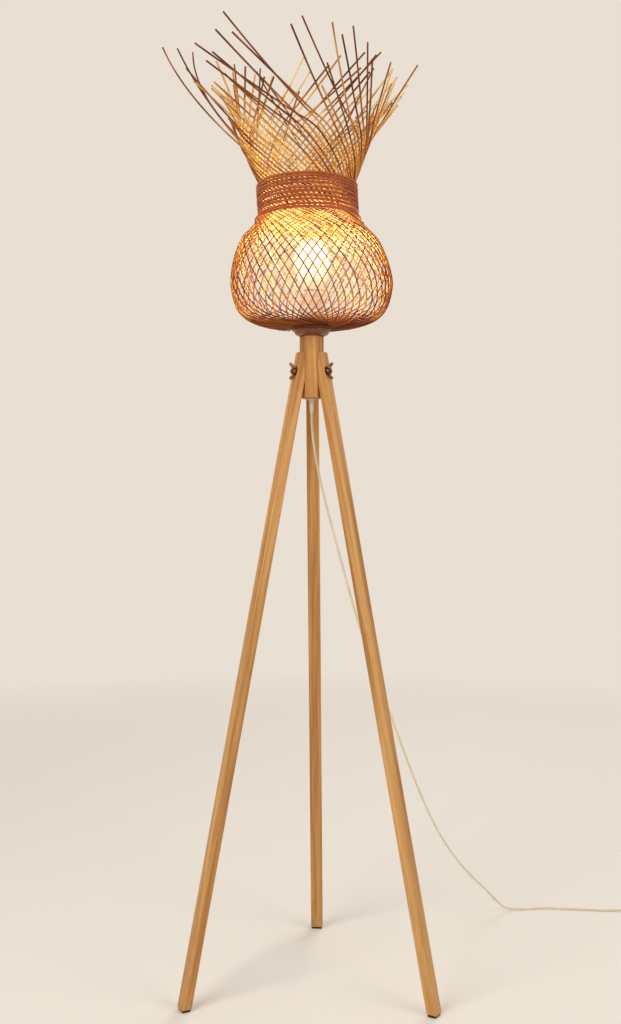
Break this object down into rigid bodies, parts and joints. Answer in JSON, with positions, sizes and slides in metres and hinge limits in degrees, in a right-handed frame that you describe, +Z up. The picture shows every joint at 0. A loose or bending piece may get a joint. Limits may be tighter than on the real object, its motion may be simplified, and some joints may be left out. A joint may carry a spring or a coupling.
{
  "type": "rattan floor lamp",
  "caption": "Floor lamp with a basket-shaped shade of crossed rattan sticks, tied in at its neck and open above, on a bolted wooden tripod.",
  "frame": {"origin": "on the floor, under the middle of the lamp's own box without its lead; the post's axis stands at x = 0.030, y = -0.022", "axes": "+Z up along the post; +Y from the front to the rear leg; +X to the right, the side on which the lead leaves"},
  "size_m": [1.0589, 0.5924, 1.5892],
  "materials": {
    "wood": "satin",
    "stick": "satin",
    "binding": "matte",
    "dark_wood": "satin",
    "board": "matte",
    "bronze": "satin",
    "steel": "polished",
    "brass": "satin",
    "pad": "matte",
    "holder": "matte",
    "ceramic": "glazed",
    "dome": "satin",
    "white": "satin",
    "lead": "satin"
  },
  "bodies": {
    "stand": {"hex_post": "wood", "hanger_bolt_1": "bronze", "hanger_bolt_2": "bronze", "hanger_bolt_3": "bronze", "shade_dish": "dark_wood", "threaded_nipple": "steel", "shade_lower_disc": "board", "outer_sticks_1": "stick", "outer_sticks_2": "stick", "outer_sticks_3": "stick", "outer_sticks_4": "stick", "outer_sticks_5": "stick", "outer_sticks_6": "stick", "outer_sticks_7": "stick", "inner_sticks_1": "stick", "inner_sticks_2": "stick", "inner_sticks_3": "stick", "inner_sticks_4": "stick", "inner_sticks_5": "stick", "inner_sticks_6": "stick", "inner_sticks_7": "stick", "neck_binding": "binding", "shade_upper_disc": "board", "nipple_washer": "steel", "nipple_nut": "brass", "lampholder_cap": "white", "lampholder_shell": "white", "lampholder_insulator": "ceramic", "screw_contact": "brass", "centre_contact": "brass", "inner_lead": "lead", "lead_gland": "white", "lead_drop": "lead", "switch_base": "white", "switch_cover": "white", "lead_link": "lead", "lead_coil": "lead", "plug_body": "white", "plug_pin_left": "brass", "plug_pin_right": "brass"},
    "leg_left": {"leg_2": "wood", "foot_pad_2": "pad", "leg_washer_2": "bronze"},
    "leg_right": {"leg_3": "wood", "foot_pad_3": "pad", "leg_washer_3": "bronze"},
    "leg_rear": {"leg_1": "wood", "foot_pad_1": "pad", "leg_washer_1": "bronze"},
    "nut_left": {"wing_nut_2": "bronze"},
    "nut_right": {"wing_nut_3": "bronze"},
    "nut_rear": {"wing_nut_1": "bronze"},
    "bulb": {"bulb_dome": "dome", "bulb_housing": "white", "bulb_led_board": "white", "bulb_screw_cap": "steel", "bulb_tip_contact": "steel"},
    "rocker": {"switch_rocker": "holder"}
  },
  "joints": [
    {"name": "leg_rear_swivel", "type": "hinge", "parent": "stand", "child": "leg_rear", "pos_m": [0.03, -0.022, 1.005], "axis": [0, 1, 0], "range_deg": [-10, 10]},
    {"name": "leg_left_swivel", "type": "hinge", "parent": "stand", "child": "leg_left", "pos_m": [0.03, -0.022, 1.005], "axis": [-0.866, -0.5, 0], "range_deg": [-10, 10]},
    {"name": "leg_right_swivel", "type": "hinge", "parent": "stand", "child": "leg_right", "pos_m": [0.03, -0.022, 1.005], "axis": [0.866, -0.5, 0], "range_deg": [-10, 10]},
    {"name": "nut_rear_turn", "type": "hinge", "parent": "stand", "child": "nut_rear", "pos_m": [0.03, -0.022, 1.005], "axis": [0, 1, 0], "continuous": true},
    {"name": "nut_left_turn", "type": "hinge", "parent": "stand", "child": "nut_left", "pos_m": [0.03, -0.022, 1.005], "axis": [-0.866, -0.5, 0], "continuous": true},
    {"name": "nut_right_turn", "type": "hinge", "parent": "stand", "child": "nut_right", "pos_m": [0.03, -0.022, 1.005], "axis": [0.866, -0.5, 0], "continuous": true},
    {"name": "bulb_screw", "type": "hinge", "parent": "stand", "child": "bulb", "pos_m": [0.03, -0.022, 1.13], "axis": [0, 0, 1], "continuous": true},
    {"name": "switch_rock", "type": "hinge", "parent": "stand", "child": "rocker", "pos_m": [0.682, 0.303, 0.0135], "axis": [0, -1, 0], "range_deg": [0, 16]}
  ]
}
